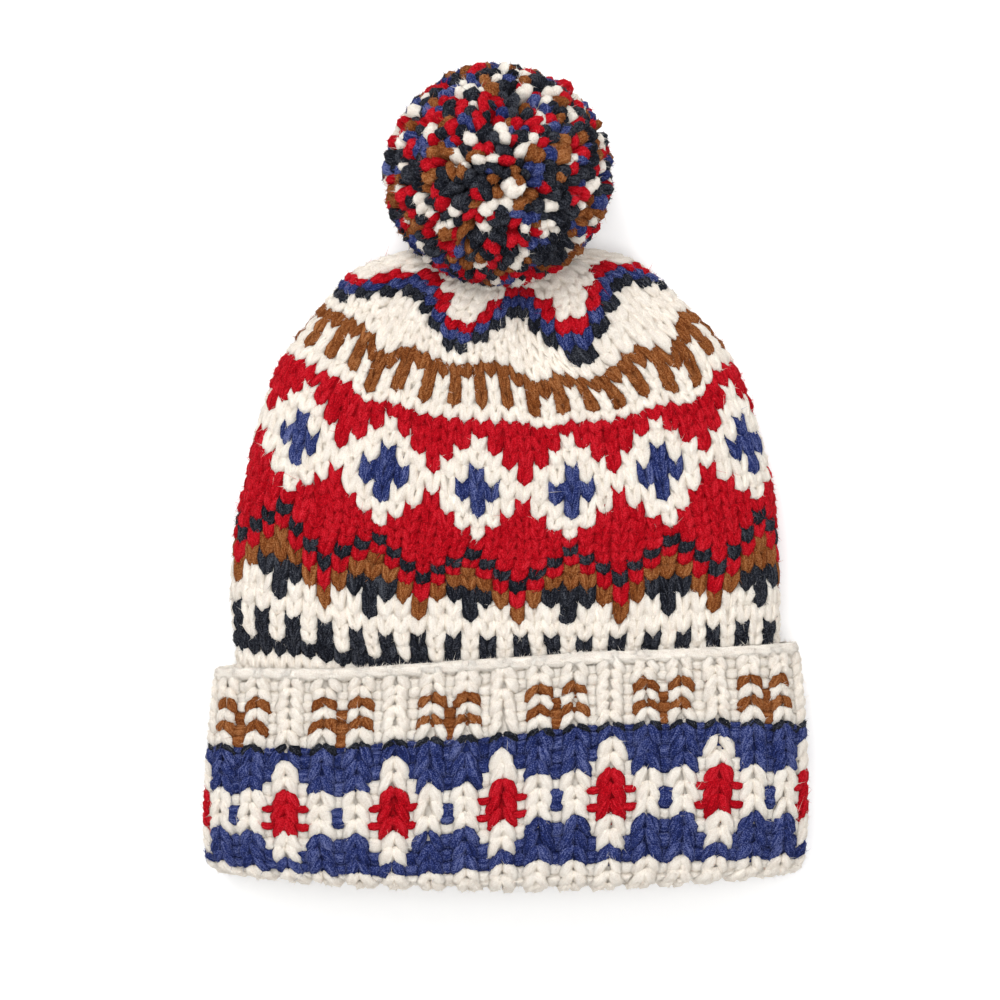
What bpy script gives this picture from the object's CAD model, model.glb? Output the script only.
"""Looks of the double cuff beanie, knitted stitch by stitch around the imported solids.

Every stitch is a pair of plump wool legs, or a purl bump, laid on the hat's own
surface. Its colour comes from a hand-written knitting chart of a traditional
stranded pattern. The pompom is made of trimmed yarn ends.
"""

import logging
import math
from dataclasses import dataclass, field
from enum import Enum
from typing import Callable

import bmesh
import bpy
import numpy as np
from mathutils import Matrix, Vector
from mathutils.bvhtree import BVHTree


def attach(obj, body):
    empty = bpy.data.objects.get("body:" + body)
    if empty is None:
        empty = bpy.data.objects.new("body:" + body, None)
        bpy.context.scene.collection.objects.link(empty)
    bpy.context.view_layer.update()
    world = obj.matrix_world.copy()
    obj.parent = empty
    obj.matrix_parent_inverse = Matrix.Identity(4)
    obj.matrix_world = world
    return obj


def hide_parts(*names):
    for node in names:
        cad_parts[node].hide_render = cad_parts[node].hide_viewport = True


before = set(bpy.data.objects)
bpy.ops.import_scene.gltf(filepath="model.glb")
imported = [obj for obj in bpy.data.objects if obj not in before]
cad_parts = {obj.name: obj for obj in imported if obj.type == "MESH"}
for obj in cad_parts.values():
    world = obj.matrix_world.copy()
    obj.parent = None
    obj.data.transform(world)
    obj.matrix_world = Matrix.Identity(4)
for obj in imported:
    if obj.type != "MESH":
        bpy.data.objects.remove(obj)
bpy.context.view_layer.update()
Array = np.ndarray

LOG = logging.getLogger("double_cuff_beanie")
MM = 0.001
PIXEL_MM = 0.4023
FLOOR_CLEARANCE = 0.15 * MM
WELD = 0.02 * MM
TINY = 1e-12
WHITE = (1.0, 1.0, 1.0, 1.0)
SENSOR_MM = 36.0

# Places round each ring of the surface grids, and the samples that space them evenly
GRID_TURNS = 432
RING_SAMPLES = 1441

# Stitches in a round and in one repeat of the pattern, and gathers round the crown
STITCHES = 72
REPEAT = 6
GATHERS = 6

# Turns to each side of the front's middle that the finer stitches reach
FRONT_REACH = 0.29

# Sides, rings and plumpness of the bits of yarn
FINE_GRAIN = (6, 6, 2.6)
COARSE_GRAIN = (5, 4, 2.6)
EDGE_GRAIN = (8, 8, 2.6)
TUFT_GRAIN = (8, 6, 3.2)

# A grain's place on the fibre noise: step to the next grain, patch they spread over, and UVs to a metre
PATCH_STEP = np.array((0.618, 0.377))
PATCH_SIZE = np.array((7.0, 9.0))
UV_PER_METRE = 100.0

# The same section shape as the solids have
FRONT_SQUARENESS = 3.6
BACK_SQUARENESS = 6.0
WIDEST_HEIGHT = 0.45

# A wall's rim beyond this place is the crown's tip, which is closed
TIP_Y = 0.08


class Yarn(Enum):
    """The five wools, by the letter that the charts use."""

    CREAM = "W"
    RED = "R"
    BLUE = "B"
    BROWN = "N"
    CHARCOAL = "C"


@dataclass(frozen=True)
class WoolFinish:
    """Lofty, woollen-spun yarn: dull, softly haired, with flecks of lighter and darker fibre."""

    name: str
    main: str
    deep: str
    fleck: str
    sheen: float = 0.0
    glow: float = 0.0


WOOLS = {
    Yarn.CREAM: WoolFinish("undyed_cream_wool", "EAE2D7", "DDD2C5", "F2ECE2", 0.1, 0.9),
    Yarn.RED: WoolFinish("scarlet_wool", "BE0317", "8C000E", "DC2C3A", 0.0, 0.4),
    Yarn.BLUE: WoolFinish("heathered_blue_wool", "263471", "131A40", "6E77A8", 0.0, 0.4),
    Yarn.BROWN: WoolFinish("tobacco_brown_wool", "8A4C22", "5C2D11", "B67C4E", 0.0, 0.4),
    Yarn.CHARCOAL: WoolFinish("charcoal_wool", "1B1E28", "07080E", "54575F", 0.0, 0.2),
}

# Body and crown sections in millimetres, the solid's own rows
BODY_SECTIONS = (
    (-4.0, -98.8, -91.5, -90.5, -110.8, 111.6, 45.0, 7.0),
    (-2.0, -89.0, -78.5, -78.5, -109.8, 111.0, 45.6, 7.0),
    (0.0, -77.8, -65.0, -70.2, -110.4, 111.2, 46.4, 6.7),
    (3.0, -62.2, -47.7, -55.3, -112.1, 111.8, 47.6, 4.2),
    (6.0, -42.8, -22.7, -31.6, -110.6, 111.3, 48.0, 2.0),
    (8.0, -35.2, -11.0, -19.5, -108.8, 110.7, 48.0, 0.6),
    (10.0, -27.8, -1.8, -9.1, -106.2, 110.1, 47.8, -0.4),
    (13.0, -13.9, 16.3, 7.4, -102.8, 106.8, 47.4, -1.0),
    (15.0, 0.6, 31.6, 23.1, -98.1, 102.4, 47.0, -1.2),
    (18.0, 19.1, 47.7, 42.4, -92.0, 95.6, 46.2, -1.2),
    (20.0, 30.4, 57.7, 54.1, -84.8, 88.7, 45.5, -1.0),
    (23.0, 47.3, 73.0, 71.0, -72.7, 73.0, 44.4, -0.4),
    (26.0, 61.0, 82.7, 81.5, -63.9, 62.2, 42.6, 1.6),
    (28.0, 69.4, 87.4, 86.6, -55.3, 55.6, 40.4, 3.8),
    (29.5, 75.6, 90.3, 89.8, -46.5, 48.5, 38.0, 6.4),
    (31.0, 81.9, 92.2, 92.0, -34.5, 35.5, 34.6, 9.8),
    (32.3, 87.0, 93.0, 92.9, -20.0, 20.0, 30.0, 14.0),
    (33.3, 91.6, 92.6, 92.6, -5.0, 1.0, 23.0, 21.0),
)

# Outer face of the turned cuff in millimetres, from its rolled edge to its fold
CUFF_SECTIONS = (
    (-0.03, -69.8, -75.4, -66.2, -115.9, 117.2, 51.4, 0.6),
    (0.00, -71.5, -77.0, -68.2, -117.2, 118.5, 53.0, -0.5),
    (0.06, -76.6, -81.6, -73.2, -118.8, 120.0, 53.8, -1.0),
    (0.13, -83.6, -87.6, -79.6, -119.4, 120.6, 53.4, -1.0),
    (0.30, -100.2, -102.8, -96.6, -120.8, 122.0, 53.6, -1.0),
    (0.50, -119.8, -120.4, -116.2, -122.4, 122.9, 53.6, -1.0),
    (0.70, -139.2, -138.0, -137.2, -123.0, 123.0, 52.6, -1.0),
    (0.88, -156.2, -151.6, -152.2, -122.2, 121.8, 50.2, -1.0),
    (0.97, -163.6, -157.2, -157.8, -120.4, 120.0, 48.2, -0.8),
    (1.00, -166.5, -159.6, -160.0, -118.6, 118.4, 46.6, -0.2),
)

PLAIN_ROUND = "WWWW"

# Chart of the body, row 0 at the cuff. A row gives columns 0, 1 and 5, 2 and 4, 3 of the repeat.
BODY_CHART = (
    "CCCC", "WCWC", "WCWC", "WWWW", "CWWN", "CCNR", "NNRC", "NRCR", "RCRR", "CRRR",
    "RRRR", "WRRR", "WWRR", "BWWR", "BBWW", "BWWR", "WWRR", "WRRR", "RRRR", "WWWW",
    "NWNW", "NWNW", "NNNN",
)
BODY_CHART_COLUMN = 2
BODY_COLUMN_SHIFT = -0.17

# Chart of the star on the crown: each row gives the stitches of half a wedge, from its middle
CROWN_CHART = (
    "WWWWW", "CWWWW", "BCWW", "RBCW", "WRBC", "WRB", "WWR", "WW", "WW", "W",
)
CROWN_START = len(BODY_CHART)
CROWN_END = CROWN_START + len(CROWN_CHART)

# First row, end and step of the body's surface, and the rounds that lie hidden under the cuff
BODY_ROWS = (-4.5, 33.31, 0.125)
HIDDEN_ROUNDS = 3

# Rows at which the gathers start, are deep, start to open again and end
GATHER_ROWS = (18.0, 27.0, 30.0, 33.0)

# Uneven rounds and columns: size in rows or turns, waves in a round, change for each row, and phase
ROUND_WAVES = ((0.13, 5.0, 0.7, 0.0), (0.10, 11.0, -0.45, 1.0))
COLUMN_WAVES = ((0.0016, 7.0, 0.8, 0.0), (0.0012, -3.0, 0.37, 2.0))

# Where the crown's folds pull the rounds down: row, turn, dip in rows, spread in rows, spread in turns
CROWN_DIPS = (
    (21.5, -0.141, 1.6, 2.6, 0.013),
    (21.5, 0.034, 1.4, 2.6, 0.016),
    (21.5, 0.183, 1.9, 2.6, 0.018),
    (22.0, 0.110, 1.0, 3.0, 0.045),
    (24.5, 0.100, 0.6, 1.6, 0.030),
)

# Where a gather pulls one of the star's points over: row, turn, shift in turns, spread in rows and turns
STAR_LEAN = (25.0, 0.106, -0.020, 2.4, 0.045)

# Chart of the cuff from its cast-on edge to its fold: columns 0, 1 and 5, 2 and 4, 3
CUFF_CHART = (
    "WWWW", "WWWW", "WWWW", "WWNW", "WWWN", "WWNN", "WWWN", "CBCB", "BBBB", "WBBB",
    "WWBB", "RWWW", "RWWB", "RWWW", "WWBB", "WBBB", "BBBB", "WWWW", "WWWW",
)
CUFF_COLUMN_SHIFT = -0.22
# Where the cuff's rows start on its outer leg, as shares of the leg's length
CUFF_ROW_MARKS = (
    0.0, 0.046, 0.093, 0.139, 0.1875, 0.236, 0.285, 0.340, 0.370,
    *(0.370 + 0.0583 * i for i in range(1, 10)), 0.95,
)

# Purl bumps that stand out over the knit columns beside them: chart row and column, wool, shift and half
# thickness in rows, and height over the other bumps in millimetres
PROUD_PURLS = (
    (4, 3, "N", 0.0, 0.6, 0.9),
    (5, 3, "N", 0.0, 0.6, 0.9),
    (6, 3, "N", 0.0, 0.6, 0.9),
    (12, 1, "R", -0.55, 0.31, 1.3),
    (12, 1, "R", 0.68, 0.31, 1.3),
    (12, 3, "B", -0.20, 0.55, 1.5),
    (12, 3, "B", 0.26, 0.55, 1.5),
)

# How far the cuff's rounds hang below their even places, in millimetres: turn, then at each level
CUFF_SAGS = (
    (-0.50, 0.0, 0.0, 0.0, 0.0, 0.0, 0.0),
    (-0.32, 0.6, 0.6, 0.6, 0.6, 1.0, 0.0),
    (-0.22, 2.4, 3.0, 2.4, 3.2, 5.2, 0.0),
    (-0.13, 5.4, 3.2, 3.0, 4.0, 5.4, 0.0),
    (-0.08, 4.8, 3.0, 0.8, 3.0, 4.6, 0.0),
    (-0.02, 3.2, 2.0, -0.8, 0.2, 0.6, 0.0),
    (0.03, 1.6, -1.0, -3.4, -3.0, -2.4, 0.0),
    (0.06, 0.4, -1.6, -5.0, -3.8, -2.2, 0.0),
    (0.11, 0.1, -2.4, -5.4, -4.4, -2.6, 0.0),
    (0.17, 0.0, -2.2, -4.8, -4.6, -1.4, 0.0),
    (0.225, 0.0, -0.6, -2.0, -1.8, 0.4, 0.0),
    (0.32, 0.0, 0.0, -0.4, -0.4, 0.2, 0.0),
    (0.50, 0.0, 0.0, 0.0, 0.0, 0.0, 0.0),
)
SAG_LEVELS = (0.0, 22.0, 37.6, 62.0, 87.0, 112.0)


def linear_rgb(hex_colour: str) -> tuple[float, float, float, float]:
    """Turns an sRGB hex colour to linear.

    Args:
        hex_colour: six hex digits.

    Returns:
        Red, green, blue and alpha in linear light.
    """
    channels = (int(hex_colour[i:i + 2], 16) / 255.0 for i in (0, 2, 4))
    linear = [c / 12.92 if c <= 0.04045 else ((c + 0.055) / 1.055) ** 2.4 for c in channels]
    return (linear[0], linear[1], linear[2], 1.0)


def add_node(
    tree: bpy.types.NodeTree,
    kind: str,
    settings: dict[str, object] | None = None,
    links: dict[str | int, bpy.types.NodeSocket] | None = None,
) -> bpy.types.Node:
    """Adds a shader node with its settings and links.

    Args:
        tree: the material's node tree.
        kind: the node's type name after ShaderNode.
        settings: attribute names, or input names and numbers, with their values.
        links: input names or numbers with the sockets that feed them.

    Returns:
        The new node.
    """
    node = tree.nodes.new(f"ShaderNode{kind}")
    for key, value in (settings or {}).items():
        if isinstance(key, str) and hasattr(node, key):
            setattr(node, key, value)
        else:
            node.inputs[key].default_value = value
    for key, socket in (links or {}).items():
        tree.links.new(socket, node.inputs[key])
    return node


def new_material(name: str, values: dict[str, object]) -> tuple[bpy.types.Material, bpy.types.Node]:
    """Starts a material.

    Args:
        name: the material's name.
        values: the shader's sockets with their values.

    Returns:
        The material and its surface shader.
    """
    material = bpy.data.materials.new(name)
    material.use_nodes = True
    shader = material.node_tree.nodes["Principled BSDF"]
    for key, value in values.items():
        shader.inputs[key].default_value = value
    return material, shader


def put_in_scene(name: str, data: bpy.types.ID) -> bpy.types.Object:
    """Makes an object of a mesh, a lamp or a camera."""
    thing = bpy.data.objects.new(name, data)
    bpy.context.scene.collection.objects.link(thing)
    return thing


def new_piece(name: str, bm: bmesh.types.BMesh, material: bpy.types.Material) -> bpy.types.Object:
    """Makes a piece of a bmesh.

    Args:
        name: the piece's name.
        bm: its mesh, freed here.
        material: its finish.

    Returns:
        The piece.
    """
    mesh = bpy.data.meshes.new(name)
    bm.to_mesh(mesh)
    bm.free()
    mesh.materials.append(material)
    return put_in_scene(name, mesh)


def chart_letter(pattern: str, stitch: int) -> str:
    """Gives a stitch's yarn letter.

    Args:
        pattern: the row's columns 0, 1 and 5, 2 and 4, 3.
        stitch: number of the stitch in the round.

    Returns:
        The letter.
    """
    column = stitch % REPEAT
    return pattern[min(column, REPEAT - column)]


def waves(table: tuple[tuple[float, ...], ...], row: Array, turn: Array) -> Array:
    """Adds up waves that run round the hat and along it.

    Args:
        table: size, waves in a round, change for each row and phase of each wave.
        row: row numbers.
        turn: turns.

    Returns:
        The waves' sum at each place.
    """
    total = 0.0
    for size, count, change, phase in table:
        total = total + size * np.sin(2.0 * math.pi * count * turn + change * row + phase)
    return total


def dent(mark: tuple[float, ...], row: Array, turn: Array) -> Array:
    """Gives the shift round one mark, which fades away from it.

    Args:
        mark: row, turn, size, spread in rows and spread in turns.
        row: row numbers.
        turn: turns.

    Returns:
        The shift at each place.
    """
    mark_row, mark_turn, size, row_spread, turn_spread = mark
    off = (turn - mark_turn + 0.5) % 1.0 - 0.5
    return size * np.exp(-0.5 * ((row - mark_row) / row_spread) ** 2 - 0.5 * (off / turn_spread) ** 2)


class KnitSurface:
    """A tube of knitting as a grid of places, rows up the tube and turns round it."""

    def __init__(self, rows: Array, points: Array, outward: float = 1.0) -> None:
        """Stores the grid and works out its directions.

        Args:
            rows: evenly spaced row numbers.
            points: places by row and turn, in metres.
            outward: -1 where the rows run towards the hat's opening, which turns the normals over.
        """
        self.first = float(rows[0])
        self.step = float(rows[1] - rows[0])
        self.points = points
        turn_step = 1.0 / points.shape[1]
        self.per_turn = (np.roll(points, -1, axis=1) - np.roll(points, 1, axis=1)) / (2.0 * turn_step)
        self.per_row = np.gradient(points, self.step, axis=0)
        normals = np.cross(self.per_turn, self.per_row) * outward
        lengths = np.linalg.norm(normals, axis=2, keepdims=True)
        self.normals = normals / np.maximum(lengths, TINY)

    def read(self, grid: Array, rows: Array, turns: Array) -> Array:
        """Reads a grid between its points.

        Args:
            grid: values by row and turn.
            rows: row numbers.
            turns: turns, of which only the fraction counts.

        Returns:
            One value for each row and turn given.
        """
        height, count = grid.shape[:2]
        u = np.clip((rows - self.first) / self.step, 0.0, height - 1.001)
        v = (turns % 1.0) * count
        low_u = u.astype(int)
        low_v = v.astype(int) % count
        share_u = (u - low_u)[..., None]
        share_v = (v - np.floor(v))[..., None]
        high_v = (low_v + 1) % count
        near = grid[low_u, low_v] * (1.0 - share_v) + grid[low_u, high_v] * share_v
        far = grid[low_u + 1, low_v] * (1.0 - share_v) + grid[low_u + 1, high_v] * share_v
        return near * (1.0 - share_u) + far * share_u

    def place(self, rows: Array, turns: Array, lift: Array | float) -> Array:
        """Places points over the surface, never under the floor.

        Args:
            rows: row numbers.
            turns: turns round the tube.
            lift: height over the surface in metres.

        Returns:
            Places in metres.
        """
        base = self.read(self.points, rows, turns)
        normal = self.read(self.normals, rows, turns)
        lifted = base + normal * np.asarray(lift)[..., None]
        lifted[..., 2] = np.maximum(lifted[..., 2], FLOOR_CLEARANCE)
        return lifted

    def stitch_size(self, rows: Array, turns: Array) -> tuple[Array, Array]:
        """Gives the metres in one whole turn and in one row at the places asked."""
        round_length = np.linalg.norm(self.read(self.per_turn, rows, turns), axis=-1)
        row_length = np.linalg.norm(self.read(self.per_row, rows, turns), axis=-1)
        return round_length, row_length


def blend_table(table: tuple[tuple[float, ...], ...], rows: Array) -> Array:
    """Reads a section table smoothly at any rows.

    Args:
        table: sections, each starting with its row.
        rows: where to read.

    Returns:
        The section values at each row, without the row itself.
    """
    data = np.array(table)
    knots, values = data[:, 0], data[:, 1:]
    slopes = np.gradient(values, knots, axis=0)
    index = np.clip(np.searchsorted(knots, rows, side="right") - 1, 0, len(knots) - 2)
    span = (knots[index + 1] - knots[index])[:, None]
    t = np.clip((rows[:, None] - knots[index][:, None]) / span, 0.0, 1.0)
    start = (2 * t**3 - 3 * t**2 + 1) * values[index] + (t**3 - 2 * t**2 + t) * span * slopes[index]
    end = (3 * t**2 - 2 * t**3) * values[index + 1] + (t**3 - t**2) * span * slopes[index + 1]
    return start + end


def section_points(values: Array, angles: Array, depths: Array) -> Array:
    """Places of flattened sections.

    Args:
        values: y_front, y_left, y_right, x_left, x_right, z_front and z_back by row, in millimetres.
        angles: angles by row and step. 0 is the middle of the front.
        depths: depth under the outer face by row, in metres.

    Returns:
        Places by row and step, in metres.
    """
    y_front, y_left, y_right, x_left, x_right, z_front, z_back = (values[:, i:i + 1] * MM for i in range(7))
    depth = depths[:, None]
    across = np.sin(angles)
    middle = 0.5 * (x_left + x_right)
    half = 0.5 * (x_right - x_left) - depth
    top, bottom = z_front - depth, z_back + depth
    widest = bottom + WIDEST_HEIGHT * (top - bottom)
    front = np.cos(angles) >= 0.0
    rise_front = (top - widest) * np.sqrt(np.maximum(0.0, 1.0 - np.abs(across) ** FRONT_SQUARENESS))
    rise_back = (bottom - widest) * np.sqrt(np.maximum(0.0, 1.0 - np.abs(across) ** BACK_SQUARENESS))
    side_y = np.where(across > 0.0, y_right, y_left)
    z = np.maximum(widest + np.where(front, rise_front, rise_back), depth)
    y = y_front + (side_y - y_front) * across**2
    return np.stack((middle + half * across, y, z), axis=-1)


def section_rings(values: Array, depths: Array) -> Array:
    """Rings of places at even steps along each section's length.

    Args:
        values: section values by row.
        depths: depth under the outer face by row, in metres.

    Returns:
        Places by row and turn.
    """
    samples = np.linspace(0.0, 2.0 * math.pi, RING_SAMPLES)
    path = section_points(values, np.tile(samples, (len(values), 1)), np.zeros(len(values)))
    steps = np.linalg.norm(np.diff(path, axis=1), axis=2)
    angles = np.empty((len(values), GRID_TURNS))
    for i, row_steps in enumerate(steps):
        travelled = np.concatenate(([0.0], np.cumsum(row_steps)))
        wanted = np.arange(GRID_TURNS) / GRID_TURNS * travelled[-1]
        angles[i] = np.interp(wanted, travelled, samples)
    return section_points(values, angles, depths)


@dataclass(frozen=True)
class Grain:
    """Template of a plump bit of yarn: places along and round it, with its faces."""

    along: Array
    across: Array
    up: Array
    starts: Array
    corners: Array
    uvs: Array


def read_template(bm: bmesh.types.BMesh) -> tuple[Array, list[Array]]:
    """Reads a template's mesh and frees it.

    Args:
        bm: the mesh, with its UV layer.

    Returns:
        Its points, and its faces as their starts, their corners' points and their corners' UVs.
    """
    uv_layer = bm.loops.layers.uv.active
    bm.verts.ensure_lookup_table()
    co = np.array([v.co[:] for v in bm.verts])
    loops = [loop for face in bm.faces for loop in face.loops]
    totals = np.array([len(face.loops) for face in bm.faces])
    faces = [
        np.cumsum(totals) - totals,
        np.array([loop.vert.index for loop in loops]),
        np.array([loop[uv_layer].uv[:] for loop in loops]),
    ]
    bm.free()
    return co, faces


def make_grain(sides: int, rings: int, plumpness: float) -> Grain:
    """Makes the template from a UV sphere.

    Args:
        sides: faces round the yarn.
        rings: rings along it.
        plumpness: how long the yarn stays thick before its ends.

    Returns:
        The template, along from 0 to 1, across and up from -1 to 1.
    """
    bm = bmesh.new()
    bm.loops.layers.uv.new("yarn")
    bmesh.ops.create_uvsphere(bm, u_segments=sides, v_segments=rings, radius=1.0, calc_uvs=True)
    bmesh.ops.rotate(bm, cent=(0, 0, 0), matrix=Matrix.Rotation(math.pi / sides, 3, "Z"), verts=bm.verts)
    co, faces = read_template(bm)
    height = np.clip(co[:, 2], -1.0, 1.0)
    radius = np.hypot(co[:, 0], co[:, 1])
    wanted = np.maximum(0.0, 1.0 - np.abs(height) ** plumpness) ** 0.5
    scale = np.where(radius > 1e-6, wanted / np.maximum(radius, 1e-6), 0.0)
    return Grain(0.5 + 0.5 * height, co[:, 0] * scale, co[:, 1] * scale, *faces)


def make_needle() -> Grain:
    """Makes the template of one loose fibre, a thin three-sided spike along 0 to 1."""
    bm = bmesh.new()
    bm.loops.layers.uv.new("yarn")
    bmesh.ops.create_cone(bm, cap_ends=True, segments=3, radius1=1.0, radius2=0.0, depth=1.0, calc_uvs=True)
    co, faces = read_template(bm)
    return Grain(co[:, 2] + 0.5, co[:, 0], co[:, 1], *faces)


@dataclass
class YarnBits:
    """Grains gathered for one piece, before they become its mesh."""

    grain: Grain
    places: list[Array] = field(default_factory=list)
    shades: list[Array] = field(default_factory=list)
    lengths: list[Array] = field(default_factory=list)

    def add(self, places: Array, shades: Array, lengths: Array) -> None:
        """Adds grains.

        Args:
            places: places by grain and template point, in metres.
            shades: shade of each grain, around 0.
            lengths: length of each grain in metres.
        """
        self.places.append(places)
        self.shades.append(shades)
        self.lengths.append(lengths)

    def build(self, name: str, material: bpy.types.Material) -> bpy.types.Object:
        """Makes the piece.

        Args:
            name: the piece's name.
            material: its wool.

        Returns:
            The piece.
        """
        places = np.concatenate(self.places)
        shades = np.concatenate(self.shades)
        lengths = np.concatenate(self.lengths)
        count, size = places.shape[:2]
        grain = self.grain
        offsets = np.arange(count)
        corners = (grain.corners[None, :] + (offsets * size)[:, None]).ravel()
        starts = (grain.starts[None, :] + (offsets * len(grain.corners))[:, None]).ravel()
        mesh = bpy.data.meshes.new(name)
        mesh.vertices.add(count * size)
        mesh.vertices.foreach_set("co", places.reshape(-1).astype(np.float32))
        mesh.loops.add(len(corners))
        mesh.loops.foreach_set("vertex_index", corners.astype(np.int32))
        mesh.polygons.add(len(starts))
        mesh.polygons.foreach_set("loop_start", starts.astype(np.int32))
        mesh.polygons.foreach_set("use_smooth", np.ones(len(starts), dtype=bool))
        layer = mesh.uv_layers.new(name="yarn")
        uvs = np.empty((count, len(grain.corners), 2))
        patches = offsets[:, None] * PATCH_STEP % 1.0 * PATCH_SIZE
        uvs[:, :, 0] = grain.uvs[:, 0] + patches[:, :1]
        uvs[:, :, 1] = grain.uvs[:, 1] * lengths[:, None] * UV_PER_METRE + patches[:, 1:]
        layer.data.foreach_set("uv", uvs.reshape(-1).astype(np.float32))
        shade = mesh.attributes.new("shade", "FLOAT", "POINT")
        shade.data.foreach_set("value", np.repeat(shades, size).astype(np.float32))
        mesh.update(calc_edges=True)
        mesh.validate()
        mesh.materials.append(material)
        return put_in_scene(name, mesh)


class WoolDyer:
    """Makes the wool materials, one for each yarn."""

    def __init__(self) -> None:
        """Starts with no material made."""
        self.made: dict[tuple[Yarn, bool], bpy.types.Material] = {}

    def wool(self, yarn: Yarn, loose: bool = False) -> bpy.types.Material:
        """Gives a yarn's material, made on first use.

        Args:
            yarn: which wool.
            loose: True for loose fibres, which let more light through.

        Returns:
            The material.
        """
        key = (yarn, loose)
        if key not in self.made:
            self.made[key] = self._loose(WOOLS[yarn]) if loose else self._dye(WOOLS[yarn])
        return self.made[key]

    def _loose(self, finish: WoolFinish) -> bpy.types.Material:
        """Builds the finish of single loose fibres.

        Args:
            finish: the wool's colours.

        Returns:
            The material.
        """
        name = f"{finish.name}_fibres"
        material, shader = new_material(name, {"Roughness": 0.8, "Specular IOR Level": 0.05})
        tree = material.node_tree
        shade = add_node(tree, "Attribute", {"attribute_name": "shade"})
        share = add_node(
            tree, "MapRange", {"From Min": -0.2, "From Max": 0.2},
            {"Value": shade.outputs["Fac"]},
        )
        colour = add_node(
            tree, "Mix",
            {"data_type": "RGBA", 6: linear_rgb(finish.main), 7: linear_rgb(finish.fleck)},
            {0: share.outputs[0]},
        )
        tree.links.new(colour.outputs[2], shader.inputs["Base Color"])
        return material

    def _dye(self, finish: WoolFinish) -> bpy.types.Material:
        """Builds one wool: fibre streaks along the yarn, flecks, and a soft haired sheen.

        Args:
            finish: the wool's colours and softness.

        Returns:
            The material.
        """
        material, shader = new_material(finish.name, {
            "Roughness": 0.9, "Specular IOR Level": 0.08,
            "Sheen Weight": finish.sheen, "Sheen Roughness": 0.6, "Subsurface Weight": finish.glow,
            "Subsurface Radius": (1.0, 0.92, 0.85), "Subsurface Scale": 0.0025,
        })
        # Light passes from stitch to stitch this way, where a random walk would end inside each one
        shader.subsurface_method = "BURLEY"
        tree = material.node_tree
        place = add_node(tree, "TexCoord").outputs
        # Streaks of fibre along the yarn, about a millimetre apart and several millimetres long
        fibre_place = add_node(
            tree, "Mapping", {"Scale": (12.0, 1.5, 1.0), "Rotation": (0.0, 0.0, 0.25)},
            {"Vector": place["UV"]},
        )
        fibres = add_node(
            tree, "TexNoise", {"Scale": 1.0, "Detail": 4.0, "Roughness": 0.65},
            {"Vector": fibre_place.outputs[0]},
        )
        # Tufts of fibre on the yarn's surface, under a millimetre across
        flecks = add_node(
            tree, "TexNoise", {"Scale": 2000.0, "Detail": 2.0, "Roughness": 0.7},
            {"Vector": place["Object"]},
        )
        shade = add_node(tree, "Attribute", {"attribute_name": "shade"})
        felt = add_node(
            tree, "Math", {"operation": "MULTIPLY_ADD", 1: 1.3},
            {0: flecks.outputs[0], 2: fibres.outputs[0]},
        )
        mottle = add_node(
            tree, "Math", {"operation": "MULTIPLY_ADD", 1: 0.6},
            {0: shade.outputs["Fac"], 2: felt.outputs[0]},
        )
        share = add_node(
            tree, "MapRange", {"From Min": 0.92, "From Max": 1.38}, {"Value": mottle.outputs[0]},
        )
        colour = add_node(tree, "ValToRGB", {}, {0: share.outputs[0]})
        stops = colour.color_ramp.elements
        stops[0].color = linear_rgb(finish.deep)
        stops[1].color = linear_rgb(finish.fleck)
        stops.new(0.5).color = linear_rgb(finish.main)
        bump = add_node(
            tree, "Bump", {"Strength": 1.0, "Distance": 0.0012}, {"Height": felt.outputs[0]},
        )
        tree.links.new(colour.outputs[0], shader.inputs["Base Color"])
        tree.links.new(bump.outputs[0], shader.inputs["Normal"])
        return material


def wall_cloth(name: str) -> bpy.types.Material:
    """Makes the material of a wall, coloured by the chart as its strands are.

    Args:
        name: the material's name.

    Returns:
        The material.
    """
    material, shader = new_material(
        name, {"Roughness": 0.92, "Specular IOR Level": 0.15, "Sheen Weight": 0.2},
    )
    tree = material.node_tree
    place = add_node(tree, "TexCoord").outputs
    flecks = add_node(
        tree, "TexNoise", {"Scale": 900.0, "Detail": 3.0}, {"Vector": place["Object"]},
    )
    # Purl bumps on the wrong side of the body, one to a stitch
    knots = add_node(
        tree, "TexVoronoi", {"feature": "SMOOTH_F1", "Scale": 1.0}, {"Vector": place["UV"]},
    )
    relief = add_node(
        tree, "Math", {"operation": "MULTIPLY_ADD", 1: -2.0},
        {0: knots.outputs[0], 2: flecks.outputs[0]},
    )
    bump = add_node(
        tree, "Bump", {"Strength": 0.8, "Distance": 0.0015}, {"Height": relief.outputs[0]},
    )
    paint = add_node(tree, "Attribute", {"attribute_name": "chart_colour"})
    tree.links.new(paint.outputs["Color"], shader.inputs["Base Color"])
    tree.links.new(bump.outputs[0], shader.inputs["Normal"])
    return material


def fit_piece(piece: bpy.types.Object, node: str) -> None:
    """Ties a piece to the hat's one body, its wool slot and the solid that it stands for."""
    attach(piece, "root")
    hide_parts(node)


@dataclass(frozen=True)
class WallLook:
    """The wall behind a part's stitches: its grid, its rows, how it lies and the knots round and up it."""

    name: str
    cloth: str
    slot: str
    node: str
    steps: tuple[int, int]
    first_row: float
    row_span: float
    sunk: float
    least_height: float
    thickness: float
    offset: float
    knots: tuple[float, float] = (1.0, 1.0)


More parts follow.
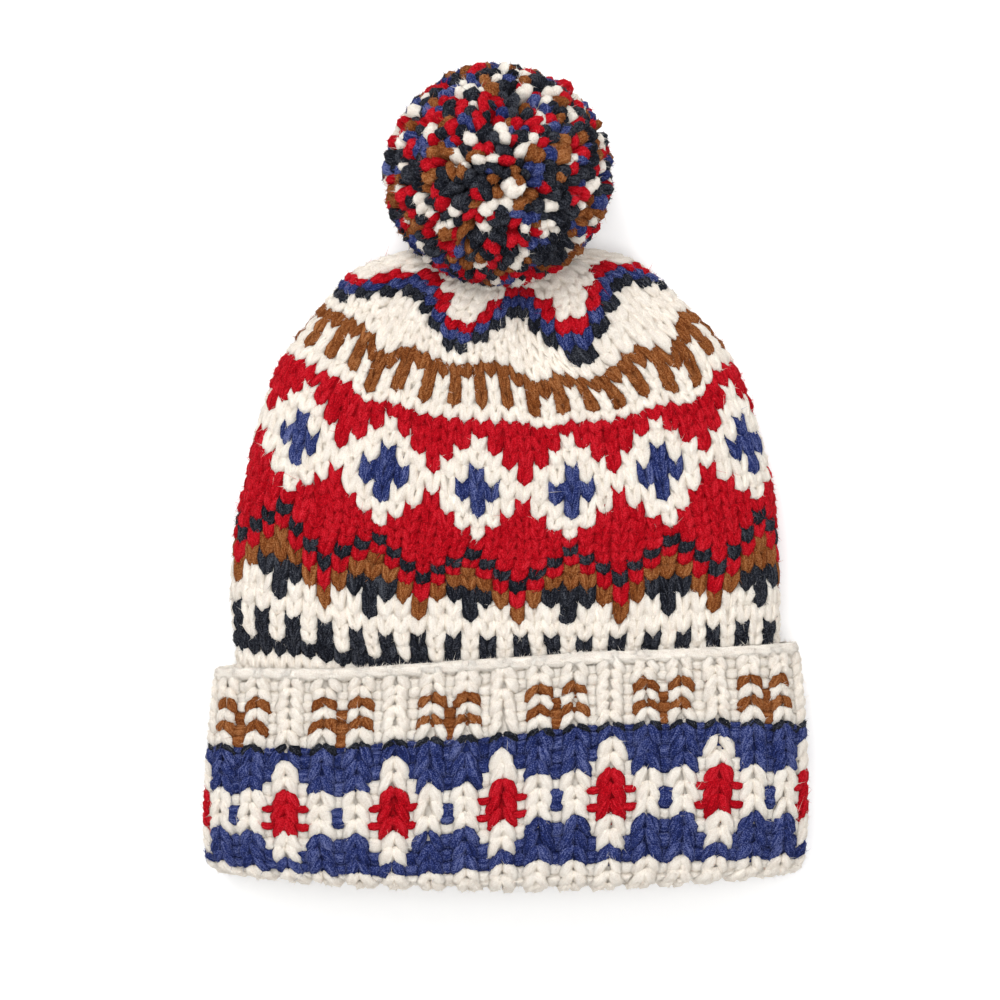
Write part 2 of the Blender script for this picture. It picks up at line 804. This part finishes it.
def make_wall(look: WallLook, surface: KnitSurface, colour_at: Callable[[float, float], Yarn]) -> None:
    """Makes a wall of a grid on the part's surface.

    Args:
        look: the wall's grid and place.
        surface: the part's surface.
        colour_at: gives the chart's yarn at a row and turn.
    """
    bm = bmesh.new()
    uv_layer = bm.loops.layers.uv.new("yarn")
    around, up = look.steps
    bmesh.ops.create_grid(bm, x_segments=around, y_segments=up, size=0.5, calc_uvs=True)
    co = np.array([v.co[:] for v in bm.verts])
    rows = look.first_row + (co[:, 1] + 0.5) * look.row_span
    places = surface.place(rows, co[:, 0] + 0.5, np.full(len(co), -look.sunk))
    places[:, 2] = np.maximum(places[:, 2], look.least_height)
    paint = bm.loops.layers.float_color.new("chart_colour")
    for face in bm.faces:
        middle = face.calc_center_median()
        yarn = colour_at(look.first_row + (middle.y + 0.5) * look.row_span, middle.x + 0.5)
        face.smooth = True
        for loop in face.loops:
            x, y, _ = loop.vert.co
            loop[paint] = linear_rgb(WOOLS[yarn].main)
            loop[uv_layer].uv = ((x + 0.5) * look.knots[0], (y + 0.5) * look.knots[1])
    for vert, place in zip(bm.verts, places):
        vert.co = place
    bmesh.ops.remove_doubles(bm, verts=bm.verts, dist=WELD)
    bmesh.ops.recalc_face_normals(bm, faces=bm.faces)
    rim = [edge for edge in bm.edges if edge.is_boundary and edge.verts[0].co.y > TIP_Y]
    bmesh.ops.holes_fill(bm, edges=rim, sides=0)
    wall = new_piece(look.name, bm, wall_cloth(look.cloth))
    solid = wall.modifiers.new("wall", "SOLIDIFY")
    solid.thickness = look.thickness
    solid.offset = look.offset
    fit_piece(wall, look.node)


@dataclass(frozen=True)
class LegLook:
    """Shape of a knit stitch's legs.

    foot, head, bow and thickness are shares of the stitch's width, and start and end of its height.
    The thickness stops at most. Legs thin out where the rows are lower than row.
    """

    foot: float
    head: float
    start: float
    end: float
    thickness: float
    most: float
    height: float
    foot_lift: float
    head_lift: float
    crest: float
    row: float
    bow: float
    thinning: float = 0.6


@dataclass(frozen=True)
class HairLook:
    """Loose fibres on a part: how many to a grain, their size, their lie and how far they spread."""

    per_grain: float
    length: float
    thickness: float = 0.11 * MM
    lift: float = 0.5
    from_tips: bool = False
    flattened_below: float = 5.0 * MM
    least_share: float = 0.08
    tip_start: float = 0.9
    upper_start: float = 0.25
    tangle: float = 0.8
    length_spread: float = 0.50
    rooted: float = 0.3 * MM
    shade_spread: float = 0.1


@dataclass(frozen=True)
class PurlLook:
    """Shape of a purl bump. Its middle shift and fullness are in rows."""

    shift: float = 0.0
    fullness: float = 0.6
    proud: float = 0.0
    half_width: float = 3.9 * MM
    height: float = 2.0 * MM
    sunk: float = 1.5 * MM
    end_drop: float = 1.0 * MM
    end_sag: float = 0.9 * MM
    width_spread: float = 0.06
    spread: float = 0.05
    place_spread: float = 0.3 * MM


@dataclass(frozen=True)
class Handwork:
    """How far a hand's stitches spread, as standard deviations in shares, or in metres for the height."""

    reach: float = 0.10
    start: float = 0.05
    thickness: float = 0.06
    lump: float = 0.13
    place: float = 0.03
    height: float = 0.12 * MM
    shade: float = 0.06


HAND = Handwork()


def seen_from_above(turns: Array) -> Array:
    """Tells which turns lie on the hat's front and its side folds."""
    return np.abs((turns + 0.5) % 1.0 - 0.5) < FRONT_REACH


def unit(vectors: Array) -> Array:
    """Scales vectors to a length of one."""
    return vectors / np.maximum(np.linalg.norm(vectors, axis=-1, keepdims=True), TINY)


@dataclass
class KnittedPart:
    """Stitches of one knitted part, sorted by yarn."""

    name: str
    slot: str
    node: str
    dyer: WoolDyer
    grain: Grain = field(default_factory=lambda: make_grain(*FINE_GRAIN))
    loose: bool = False
    bits: dict[Yarn, YarnBits] = field(default_factory=dict)

    def gather(self, yarns: Array, places: Array, shades: Array, lengths: Array) -> None:
        """Sorts grains into their yarns.

        Args:
            yarns: chart letter of each grain.
            places: places by grain and template point.
            shades: shade of each grain.
            lengths: length of each grain in metres.
        """
        for yarn in Yarn:
            chosen = yarns == yarn.value
            if chosen.any():
                bits = self.bits.setdefault(yarn, YarnBits(self.grain))
                bits.add(places[chosen], shades[chosen], lengths[chosen])

    def finish(self) -> None:
        """Makes one piece for each yarn."""
        for yarn, bits in self.bits.items():
            piece = bits.build(f"{self.name}_{yarn.name.lower()}", self.dyer.wool(yarn, self.loose))
            fit_piece(piece, self.node)
            LOG.info("%s: %d faces", piece.name, len(piece.data.polygons))

    def lay_legs(
        self, surface: KnitSurface, row: float, high: float, turns: Array, yarns: Array,
        rng: np.random.Generator, look: LegLook, wide: float,
    ) -> None:
        """Lays both legs of a round's knit stitches.

        Args:
            surface: the part's surface.
            row: lower row of the stitches.
            high: rows that a stitch spans.
            turns: turn of each stitch's middle.
            yarns: chart letter of each stitch.
            rng: spread of the hand knitting.
            look: shape of the legs.
            wide: turns that a stitch spans.
        """
        count = len(turns)
        round_length, row_length = surface.stitch_size(np.full(count, row + 0.5 * high), turns)
        width = round_length * wide
        height = row_length * high
        along = self.grain.along[:, None]
        arch = 1.0 - (2.0 * along - 1.0) ** 2
        for side in (-1.0, 1.0):
            sway = 1.0 + HAND.reach * rng.standard_normal(count)
            foot = look.foot * side
            reach_x = (look.head * side * sway - foot) * width
            start = look.start + HAND.start * rng.standard_normal(count)
            reach_y = (look.end - start) * height
            length = np.hypot(reach_x, reach_y)
            unit_x, unit_y = reach_x / length, reach_y / length
            thick = np.minimum(look.thickness * width, look.most)
            thick = thick * np.minimum(1.0, height / look.row) ** look.thinning
            thick = thick * (1.0 + HAND.thickness * rng.standard_normal(count))
            bulge = look.bow * side * width * arch
            lumps = 1.0 + HAND.lump * rng.standard_normal((len(along), count))
            plump = self.grain.across[:, None] * thick * lumps
            x = foot * width + reach_x * along + bulge + plump * unit_y
            x = x + HAND.place * width * rng.standard_normal(count)
            y = start * height + reach_y * along - plump * unit_x
            crest = look.foot_lift + (look.head_lift - look.foot_lift) * along + look.crest * arch
            up = crest + self.grain.up[:, None] * look.height * lumps
            up = up + HAND.height * rng.standard_normal(count)
            places = surface.place((row + y / row_length).T, (turns + x / round_length).T, up.T)
            self.gather(yarns, places, HAND.shade * rng.standard_normal(count), length)

    def comb(self, name: str, look: HairLook, rng: np.random.Generator) -> "KnittedPart":
        """Pulls loose fibres out of the yarn, the soft halo of brushed wool.

        Args:
            name: name of the halo.
            look: length and spread of the fibres.
            rng: their scatter.

        Returns:
            The halo as a part of its own.
        """
        needle = make_needle()
        halo = KnittedPart(name, self.slot, self.node, self.dyer, needle, loose=True)
        grain = self.grain
        foot, tip = int(np.argmin(grain.along)), int(np.argmax(grain.along))
        outside = grain.along > look.tip_start if look.from_tips else grain.up > look.upper_start
        outer = np.flatnonzero(outside)
        for yarn, bits in self.bits.items():
            places = np.concatenate(bits.places)
            # The underside is pressed flat on the surface that the hat lies on
            height = places.mean(axis=1)[:, 2]
            share = np.clip((height - look.flattened_below) / look.flattened_below, look.least_share, 1.0)
            count = int(share.sum() * look.per_grain)
            pick = rng.choice(len(places), size=count, p=share / share.sum())
            root = places[pick, rng.choice(outer, count)]
            axis = unit(places[pick, tip] - places[pick, foot])
            away = root - places[pick].mean(axis=1)
            if not look.from_tips:
                away -= axis * (away * axis).sum(axis=1, keepdims=True)
            away = unit(away)
            sideways = unit(np.cross(away, rng.normal(size=away.shape)))
            lean = look.lift * np.abs(rng.standard_normal((count, 1)))
            forward = look.tangle * axis * rng.standard_normal((count, 1))
            way = unit(away * lean + look.tangle * sideways + forward)
            length = look.length * np.exp(look.length_spread * rng.standard_normal(count))
            side = unit(np.cross(way, away))
            other = np.cross(way, side)
            reach = way[:, None, :] * needle.along[:, None] * length[:, None, None]
            flat = side[:, None, :] * needle.across[:, None] + other[:, None, :] * needle.up[:, None]
            hairs = (root - look.rooted * away)[:, None, :] + reach + flat * look.thickness
            hairs[:, :, 2] = np.maximum(hairs[:, :, 2], FLOOR_CLEARANCE)
            shades = look.shade_spread * rng.standard_normal(count)
            halo.gather(np.full(count, yarn.value), hairs, shades, length)
        return halo


@dataclass
class KnitCrown:
    """Body and gathered crown in stranded knitting."""

    dyer: WoolDyer
    seed: int = 11
    depth: float = 2.1 * MM
    gather_turn: float = 0.023
    gather_depth: float = 4.6 * MM
    fold_sag: float = 0.42
    sag_start: float = 17.0
    sag_rise: float = 6.0
    legs: LegLook = LegLook(
        foot=0.05, head=0.400, start=-0.54, end=1.10, thickness=0.300, most=2.3 * MM, height=1.75 * MM,
        foot_lift=-0.2 * MM, head_lift=-1.6 * MM, crest=1.2 * MM, row=4.0 * MM, bow=0.03,
    )
    hairs: HairLook = HairLook(22.0, 1.5 * MM)
    wall: WallLook = WallLook(
        name="body_wall", cloth="stranded_wall_wool", slot="patterned_wool", node="knit_crown",
        steps=(108, 54), first_row=-4.2, row_span=37.45, sunk=0.7 * MM, least_height=1.0 * MM,
        thickness=3.3 * MM, offset=-1.0, knots=(72.0, 37.0),
    )

    def surface(self) -> KnitSurface:
        """Builds the surface on which the stitches' middles lie."""
        rows = np.arange(*BODY_ROWS)
        points = section_rings(blend_table(BODY_SECTIONS, rows), np.full(len(rows), self.depth))
        surface = KnitSurface(rows, points)
        turns = np.arange(GRID_TURNS) / GRID_TURNS
        phase = (turns - self.gather_turn) * GATHERS
        off_valley = np.abs(phase - np.round(phase)) * 2.0
        rise = np.interp(rows, GATHER_ROWS, (0.0, 1.0, 1.0, 0.0))
        pull = self.gather_depth * rise[:, None] * (1.0 - off_valley[None, :]) ** 2
        sunk = points - surface.normals * pull[:, :, None]
        sunk[:, :, 2] = np.maximum(sunk[:, :, 2], self.depth)
        return self._sag(KnitSurface(rows, sunk), rows, turns)

    def _sag(self, surface: KnitSurface, rows: Array, turns: Array) -> KnitSurface:
        """Lets the rounds sag between the gathers and waver as hand knitting does.

        Args:
            surface: the even surface.
            rows: its rows.
            turns: its turns.

        Returns:
            The surface with its rounds moved along it.
        """
        row, turn = np.meshgrid(rows, turns, indexing="ij")
        wave = np.cos(2.0 * math.pi * GATHERS * (turn - self.gather_turn))
        sag = self.fold_sag * np.clip((row - self.sag_start) / self.sag_rise, 0.0, 1.0) * wave
        for mark in CROWN_DIPS:
            sag -= dent(mark, row, turn)
        drift = waves(COLUMN_WAVES, row, turn) + dent(STAR_LEAN, row, turn)
        sag = sag + waves(ROUND_WAVES, row, turn)
        return KnitSurface(rows, surface.read(surface.points, row + sag, turn + drift))

    def chart(self) -> list[tuple[int, int, float, list[str]]]:
        """Lists the rounds: row, stitch count, first stitch's turn and the yarn letters."""
        rounds = []
        for row in range(-HIDDEN_ROUNDS, CROWN_START):
            pattern = BODY_CHART[row] if row >= 0 else PLAIN_ROUND
            letters = [chart_letter(pattern, stitch + BODY_CHART_COLUMN) for stitch in range(STITCHES)]
            rounds.append((row, STITCHES, BODY_COLUMN_SHIFT / STITCHES, letters))
        for offset, half in enumerate(CROWN_CHART):
            wedge = half[::-1] + half
            count = len(wedge) * GATHERS
            first = self.gather_turn + 0.5 / count
            rounds.append((CROWN_START + offset, count, first, list(wedge) * GATHERS))
        return rounds

    def build(self) -> None:
        """Knits the part and makes its wall."""
        rng = np.random.default_rng(self.seed)
        surface = self.surface()
        part = KnittedPart("body_stitches", "patterned_wool", "knit_crown", self.dyer)
        back = KnittedPart("body_back", "patterned_wool", "knit_crown", self.dyer, make_grain(*COARSE_GRAIN))
        for row, count, first, letters in self.chart():
            turns = first + np.arange(count) / count
            seen = seen_from_above(turns)
            for side, chosen in ((part, seen), (back, ~seen)):
                yarns = np.array(letters)[chosen]
                side.lay_legs(surface, row, 1.0, turns[chosen], yarns, rng, self.legs, 1.0 / count)
        part.finish()
        back.finish()
        part.comb("body_halo", self.hairs, rng).finish()
        make_wall(self.wall, surface, self.colour_at)

    def colour_at(self, row: float, turn: float) -> Yarn:
        """Gives the yarn that the chart has at a place."""
        if row < 0.0 or row >= CROWN_END:
            return Yarn.CREAM
        if row < CROWN_START:
            stitch = math.floor((turn % 1.0) * STITCHES - BODY_COLUMN_SHIFT + 0.5)
            return Yarn(chart_letter(BODY_CHART[int(row)], stitch + BODY_CHART_COLUMN))
        half = CROWN_CHART[int(row) - CROWN_START]
        wedge = half[::-1] + half
        share = ((turn - self.gather_turn) * GATHERS) % 1.0
        return Yarn(wedge[min(int(share * len(wedge)), len(wedge) - 1)])


@dataclass(frozen=True)
class EdgeLook:
    """Shape of the rolled edge's rope: lift, shift and tilt of its two strands, and the size of a loop."""

    strands: tuple[tuple[float, float, float], ...] = (
        (0.1 * MM, 1.6 * MM, 0.12), (-1.9 * MM, 0.0, -0.12),
    )
    row: float = 0.6 * MM
    half_length: float = 7.6 * MM
    thickness: float = 2.5 * MM
    height: float = 2.4 * MM
    length_spread: float = 0.05
    lump: float = 0.10
    shade_spread: float = 0.04


@dataclass
class TurnedCuff:
    """Ribbed band folded up over the body: outer leg, fold and inner leg."""

    dyer: WoolDyer
    seed: int = 23
    outer_depth: float = 2.4 * MM
    inner_depth: float = 10.4 * MM
    leg_length: float = 95.0 * MM
    edge_overhang: float = 0.02
    fold_start: float = 0.936
    inner_end: float = 0.33
    row_height: float = 5.45 * MM
    legs: LegLook = LegLook(
        foot=0.035, head=0.350, start=-0.56, end=1.16, thickness=0.180, most=2.6 * MM, height=2.0 * MM,
        foot_lift=0.2 * MM, head_lift=-1.7 * MM, crest=1.2 * MM, row=5.0 * MM, bow=0.010,
    )
    hairs: HairLook = HairLook(22.0, 1.5 * MM)
    edge: EdgeLook = EdgeLook()
    edge_hairs: HairLook = HairLook(44.0, 1.5 * MM)

    def __post_init__(self) -> None:
        """Works out the strip's lengths in metres from its cast-on edge, and its rows."""
        self.radius = 0.5 * (self.inner_depth - self.outer_depth)
        self.outer_end = (self.fold_start + self.edge_overhang) * self.leg_length
        self.inner_start = self.outer_end + math.pi * self.radius
        inner = (self.fold_start - self.inner_end) * self.leg_length
        self.grid_rows = np.arange(0.0, self.inner_start + inner, 0.7 * MM)
        self.length = float(self.grid_rows[-1])
        self.edges = [(mark + self.edge_overhang) * self.leg_length for mark in CUFF_ROW_MARKS]
        while self.edges[-1] + self.row_height < self.length:
            self.edges.append(self.edges[-1] + self.row_height)

    def surface(self) -> KnitSurface:
        """Builds the strip's middle from the cast-on edge, round the fold and up inside.

        Returns:
            The surface. Its rows are metres from the cast-on edge.
        """
        rows, radius, outer = self.grid_rows, self.radius, self.outer_end
        angle = np.clip((rows - outer) / radius, 0.0, math.pi)
        along = np.where(rows < outer, rows / self.leg_length - self.edge_overhang, self.fold_start)
        along = along + np.sin(angle) * radius / self.leg_length
        inner = self.fold_start - (rows - self.inner_start) / self.leg_length
        along = np.where(rows > self.inner_start, inner, along)
        depths = self.outer_depth + radius * (1.0 - np.cos(angle))
        even = KnitSurface(rows, section_rings(blend_table(CUFF_SECTIONS, along), depths), -1.0)
        return self._sag(even, rows)

    def _sag(self, surface: KnitSurface, rows: Array) -> KnitSurface:
        """Lets the rounds hang unevenly, as a hand-knitted band does.

        Args:
            surface: the even surface.
            rows: its rows.

        Returns:
            The surface with its rounds moved along it.
        """
        turns = np.arange(GRID_TURNS) / GRID_TURNS
        by_turn = blend_table(CUFF_SAGS, (turns + 0.5) % 1.0 - 0.5)
        levels = np.array(SAG_LEVELS) * MM
        hang = np.stack([np.interp(rows, levels, sags * MM) for sags in by_turn], axis=1)
        row, turn = np.meshgrid(rows, turns, indexing="ij")
        return KnitSurface(rows, surface.read(surface.points, row + hang, turn), -1.0)

    def build(self) -> None:
        """Knits the band and makes its wall."""
        rng = np.random.default_rng(self.seed)
        surface = self.surface()
        part = KnittedPart("cuff_stitches", "rib_wool", "turned_cuff", self.dyer)
        under = KnittedPart("cuff_under", "rib_wool", "turned_cuff", self.dyer, make_grain(*COARSE_GRAIN))
        for index, (low, high) in enumerate(zip(self.edges, self.edges[1:])):
            for purl in (0, 1):
                stitches = np.arange(purl, STITCHES, 2)
                turns = (stitches + CUFF_COLUMN_SHIFT) / STITCHES
                letters = np.array([chart_letter(self._pattern(index), stitch) for stitch in stitches])
                seen = seen_from_above(turns) & (low < self.inner_start)
                for side, chosen in ((part, seen), (under, ~seen)):
                    place = (surface, low, high - low, turns[chosen], letters[chosen], rng)
                    if purl:
                        self._lay_purls(side, *place)
                    else:
                        side.lay_legs(*place, self.legs, 2.0 / STITCHES)
        columns = np.minimum(stitches % REPEAT, REPEAT - stitches % REPEAT)
        seen = seen_from_above(turns)
        for index, column, wool, shift, fullness, proud in PROUD_PURLS:
            low, high = self.edges[index:index + 2]
            look = PurlLook(shift, fullness, proud * MM)
            here = columns == column
            for side, chosen in ((part, here & seen), (under, here & ~seen)):
                letters = np.full(int(chosen.sum()), wool)
                self._lay_purls(side, surface, low, high - low, turns[chosen], letters, rng, look)
        edge = KnittedPart("cuff_edge", "rib_wool", "turned_cuff", self.dyer, make_grain(*EDGE_GRAIN))
        self._lay_edge(edge, surface, rng)
        for knitted in (part, under, edge):
            knitted.finish()
        part.comb("cuff_halo", self.hairs, rng).finish()
        edge.comb("cuff_edge_halo", self.edge_hairs, rng).finish()
        wall = WallLook(
            name="cuff_wall", cloth="rib_wall_wool", slot="rib_wool", node="turned_cuff", steps=(108, 40),
            first_row=0.0, row_span=self.length, sunk=2.3 * MM, least_height=1.3 * MM,
            thickness=1.4 * MM, offset=0.0,
        )
        make_wall(wall, surface, self.colour_at)

    def _pattern(self, index: int) -> str:
        """Gives a row's chart. The rows past the fold are plain."""
        return CUFF_CHART[index] if 0 <= index < len(CUFF_CHART) else PLAIN_ROUND

    def colour_at(self, row: float, turn: float) -> Yarn:
        """Gives the yarn that the chart has at a place."""
        index = int(np.searchsorted(self.edges, row, side="right")) - 1
        stitch = math.floor(turn * STITCHES - CUFF_COLUMN_SHIFT + 0.5)
        return Yarn(chart_letter(self._pattern(index), stitch))

    def _lay_purls(
        self, part: KnittedPart, surface: KnitSurface, low: float, height: float, turns: Array,
        yarns: Array, rng: np.random.Generator, look: PurlLook = PurlLook(),
    ) -> None:
        """Lays the purl bumps, which lie across between the knit columns.

        Args:
            part: where the bumps go.
            surface: the band's surface.
            low: where the row starts.
            height: height of the row.
            turns: turn of each bump.
            yarns: chart letter of each bump.
            rng: spread of the hand knitting.
            look: the bumps' shape and place.
        """
        grain = part.grain
        count = len(turns)
        rows = np.full(count, low + (0.5 + look.shift) * height)
        round_length, row_length = surface.stitch_size(rows, turns)
        half = look.half_width * (1.0 + look.width_spread * rng.standard_normal(count))
        thick = look.fullness * height * row_length * (1.0 + look.spread * rng.standard_normal(count))
        span = 2.0 * grain.along[:, None] - 1.0
        y = grain.across[:, None] * thick - look.end_sag * span**2
        y = y + look.place_spread * rng.standard_normal(count)
        up = look.proud - look.sunk - look.end_drop * span**2 + grain.up[:, None] * look.height
        places = surface.place((rows + y / row_length).T, (turns + span * half / round_length).T, up.T)
        part.gather(yarns, places, look.spread * rng.standard_normal(count), 2.0 * half)

    def _lay_edge(self, part: KnittedPart, surface: KnitSurface, rng: np.random.Generator) -> None:
        """Lays the rolled cast-on edge, a rope of loops round the rim.

        Args:
            part: where the loops go.
            surface: the band's surface.
            rng: spread of the hand knitting.
        """
        grain, look = part.grain, self.edge
        turns = (np.arange(STITCHES) + 0.5) / STITCHES
        rows = np.full(STITCHES, look.row)
        round_length, row_length = surface.stitch_size(rows, turns)
        span = 2.0 * grain.along[:, None] - 1.0
        for lift, shift, tilt in look.strands:
            half = look.half_length * (1.0 + look.length_spread * rng.standard_normal(STITCHES))
            lumps = 1.0 + look.lump * rng.standard_normal((len(span), STITCHES))
            x = span * half
            y = shift + tilt * x + grain.across[:, None] * lumps * look.thickness
            up = np.broadcast_to(lift + grain.up[:, None] * look.height, x.shape)
            places = surface.place((rows + y / row_length).T, (turns + x / round_length).T, up.T)
            shades = look.shade_spread * rng.standard_normal(STITCHES)
            part.gather(np.full(STITCHES, "W"), places, shades, 2.0 * half)


@dataclass
class Pompom:
    """Round head of trimmed yarn ends in all five wools."""

    dyer: WoolDyer
    seed: int = 5
    centre: tuple[float, float, float] = (-3.3, 121.9, 43.6)
    radii: tuple[float, float, float] = (46.2, 44.8, 43.8)
    ends: int = 1160
    end_length: float = 17.0 * MM
    thickness: float = 3.6 * MM
    foot_share: float = 0.65
    core_share: float = 0.80
    wools: str = "CRWNB"
    wool_shares: tuple[float, ...] = (0.37, 0.19, 0.17, 0.14, 0.13)
    strand_share: float = 0.78
    way_spread: float = 0.022
    reach_spread: float = 0.018
    lean_spread: float = 0.11
    thickness_spread: float = 0.17
    squash_spread: float = 0.16
    flare_spread: float = 0.09
    shade_spread: float = 0.08
    hairs: HairLook = HairLook(24.0, 1.2 * MM, lift=0.8, from_tips=True)

    def build(self) -> None:
        """Makes the head and its yarn ends."""
        rng = np.random.default_rng(self.seed)
        grain = make_grain(*TUFT_GRAIN)
        middle = np.array(self.centre) * MM
        radii = np.array(self.radii) * MM
        index = np.arange(self.ends) + 0.5
        height = 1.0 - 2.0 * index / self.ends
        turn = index * math.pi * (3.0 - math.sqrt(5.0))
        flat = np.sqrt(1.0 - height**2)
        way = np.stack((flat * np.cos(turn), flat * np.sin(turn), height), axis=1)
        way = unit(way + rng.normal(0.0, self.way_spread, way.shape))
        reach = self._reach(middle, radii, way) * (1.0 + self.reach_spread * rng.standard_normal(self.ends))
        axis = unit(way + rng.normal(0.0, self.lean_spread, way.shape))
        side = unit(np.cross(axis, rng.normal(size=axis.shape)))
        other = np.cross(axis, side)
        thick = self.thickness * (1.0 + self.thickness_spread * rng.standard_normal(self.ends))
        squash = 1.0 + self.squash_spread * rng.standard_normal(self.ends)
        tip = middle + way * reach[:, None]
        along = (grain.along[None, :, None] - 1.0) * self.end_length
        flare = self.foot_share + (1.0 - self.foot_share) * grain.along[None, :]
        flare = flare * (1.0 + self.flare_spread * rng.standard_normal((self.ends, len(grain.along))))
        wide = (grain.across[None, :] * flare * (thick * squash)[:, None])[:, :, None]
        deep = (grain.up[None, :] * flare * (thick / squash)[:, None])[:, :, None]
        places = tip[:, None, :] + axis[:, None, :] * along
        places = places + side[:, None, :] * wide + other[:, None, :] * deep
        places[:, :, 2] = np.maximum(places[:, :, 2], FLOOR_CLEARANCE)
        letters = rng.choice(list(self.wools), size=self.ends, p=self.wool_shares)
        # Ends cut from one strand stay together, so that some neighbours share their colour
        strands = rng.permutation(self.ends)[: int(self.strand_share * self.ends)]
        nearest = np.argmin(((tip[:, None, :] - tip[None, strands, :]) ** 2).sum(axis=2), axis=1)
        letters = letters[strands][nearest]
        part = KnittedPart("pompom_ends", "pompom_yarn", "pompom", self.dyer, grain)
        lengths = np.full(self.ends, self.end_length)
        part.gather(letters, places, self.shade_spread * rng.standard_normal(self.ends), lengths)
        part.finish()
        part.comb("pompom_halo", self.hairs, rng).finish()
        self._core(middle, radii)

    def _reach(self, middle: Array, radii: Array, way: Array) -> Array:
        """Works out how far each end reaches before it meets the crown.

        Args:
            middle: the pompom's middle.
            radii: its half sizes.
            way: direction of each end.

        Returns:
            Distance from the middle to each tip, in metres.
        """
        free = 1.0 / np.sqrt(((way / radii) ** 2).sum(axis=1))
        crown = solid_tree("knit_crown")
        reach = free.copy()
        for i, direction in enumerate(way):
            hit = crown.ray_cast(Vector(middle), Vector(direction), float(free[i]))
            if hit[0] is not None:
                reach[i] = min(free[i], hit[3] - 0.2 * MM)
        return reach

    def _core(self, middle: Array, radii: Array) -> None:
        """Makes the dark bound middle that shows between the ends."""
        bm = bmesh.new()
        bmesh.ops.create_icosphere(bm, subdivisions=4, radius=1.0)
        bmesh.ops.scale(bm, vec=Vector(radii * self.core_share), verts=bm.verts)
        bmesh.ops.translate(bm, vec=Vector(middle), verts=bm.verts)
        for face in bm.faces:
            face.smooth = True
        core = new_piece("pompom_core", bm, self.dyer.wool(Yarn.CHARCOAL))
        fit_piece(core, "pompom")


def solid_tree(node: str) -> BVHTree:
    """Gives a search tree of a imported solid."""
    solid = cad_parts[node]
    bm = bmesh.new()
    bm.from_mesh(solid.data)
    tree = BVHTree.FromBMesh(bm)
    bm.free()
    return tree


@dataclass
class Studio:
    """Pale table, soft light from above and the camera straight over the hat."""

    image_middle: tuple[float, float] = (-2.25, -8.65)
    view_width: float = 1000 * PIXEL_MM * MM
    focus_height: float = 0.042
    camera_height: float = 2.4

    def build(self) -> None:
        """Sets the table, the lights and the camera."""
        self._table()
        self._lights()
        self._camera()

    def _table(self) -> None:
        """Makes the table's white top."""
        bm = bmesh.new()
        bmesh.ops.create_grid(bm, x_segments=2, y_segments=2, size=4.0)
        material, _ = new_material("white_table_paint", {
            "Base Color": (0.93, 0.93, 0.93, 1.0), "Emission Color": WHITE,
            "Emission Strength": 0.14, "Roughness": 0.8, "Specular IOR Level": 0.1,
        })
        table = new_piece("table", bm, material)

    def _lights(self) -> None:
        """Sets a white surround and two soft boxes."""
        world = bpy.data.worlds.new("soft_room")
        world.use_nodes = True
        background = world.node_tree.nodes["Background"]
        background.inputs["Color"].default_value = WHITE
        background.inputs["Strength"].default_value = 0.67
        bpy.context.scene.world = world
        boxes = (
            ("soft_box_key", (-0.5, 1.0, 1.6), 0.9, 22.5),
            ("soft_box_fill", (0.25, -0.1, 2.0), 0.9, 16.5),
        )
        for name, place, size, watts in boxes:
            lamp = bpy.data.lights.new(name, "AREA")
            lamp.energy = watts
            lamp.size = size
            box = put_in_scene(name, lamp)
            box.location = place
            box.rotation_euler = (-Vector(place)).to_track_quat("-Z", "Y").to_euler()

    def _camera(self) -> None:
        """Hangs the camera straight over the picture's middle."""
        camera = bpy.data.cameras.new("overhead_camera")
        camera.sensor_width = SENSOR_MM
        camera.lens = SENSOR_MM * (self.camera_height - self.focus_height) / self.view_width
        holder = put_in_scene("overhead_camera", camera)
        holder.location = (self.image_middle[0] * MM, self.image_middle[1] * MM, self.camera_height)
        bpy.context.scene.camera = holder


def main() -> None:
    """Builds the hat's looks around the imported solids."""
    logging.basicConfig(level=logging.INFO, format="%(message)s")
    bpy.context.scene.view_settings.view_transform = "Standard"
    dyer = WoolDyer()
    KnitCrown(dyer).build()
    TurnedCuff(dyer).build()
    Pompom(dyer).build()
    Studio().build()
    bpy.context.view_layer.update()
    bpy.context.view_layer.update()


if __name__ == "__main__":
    main()
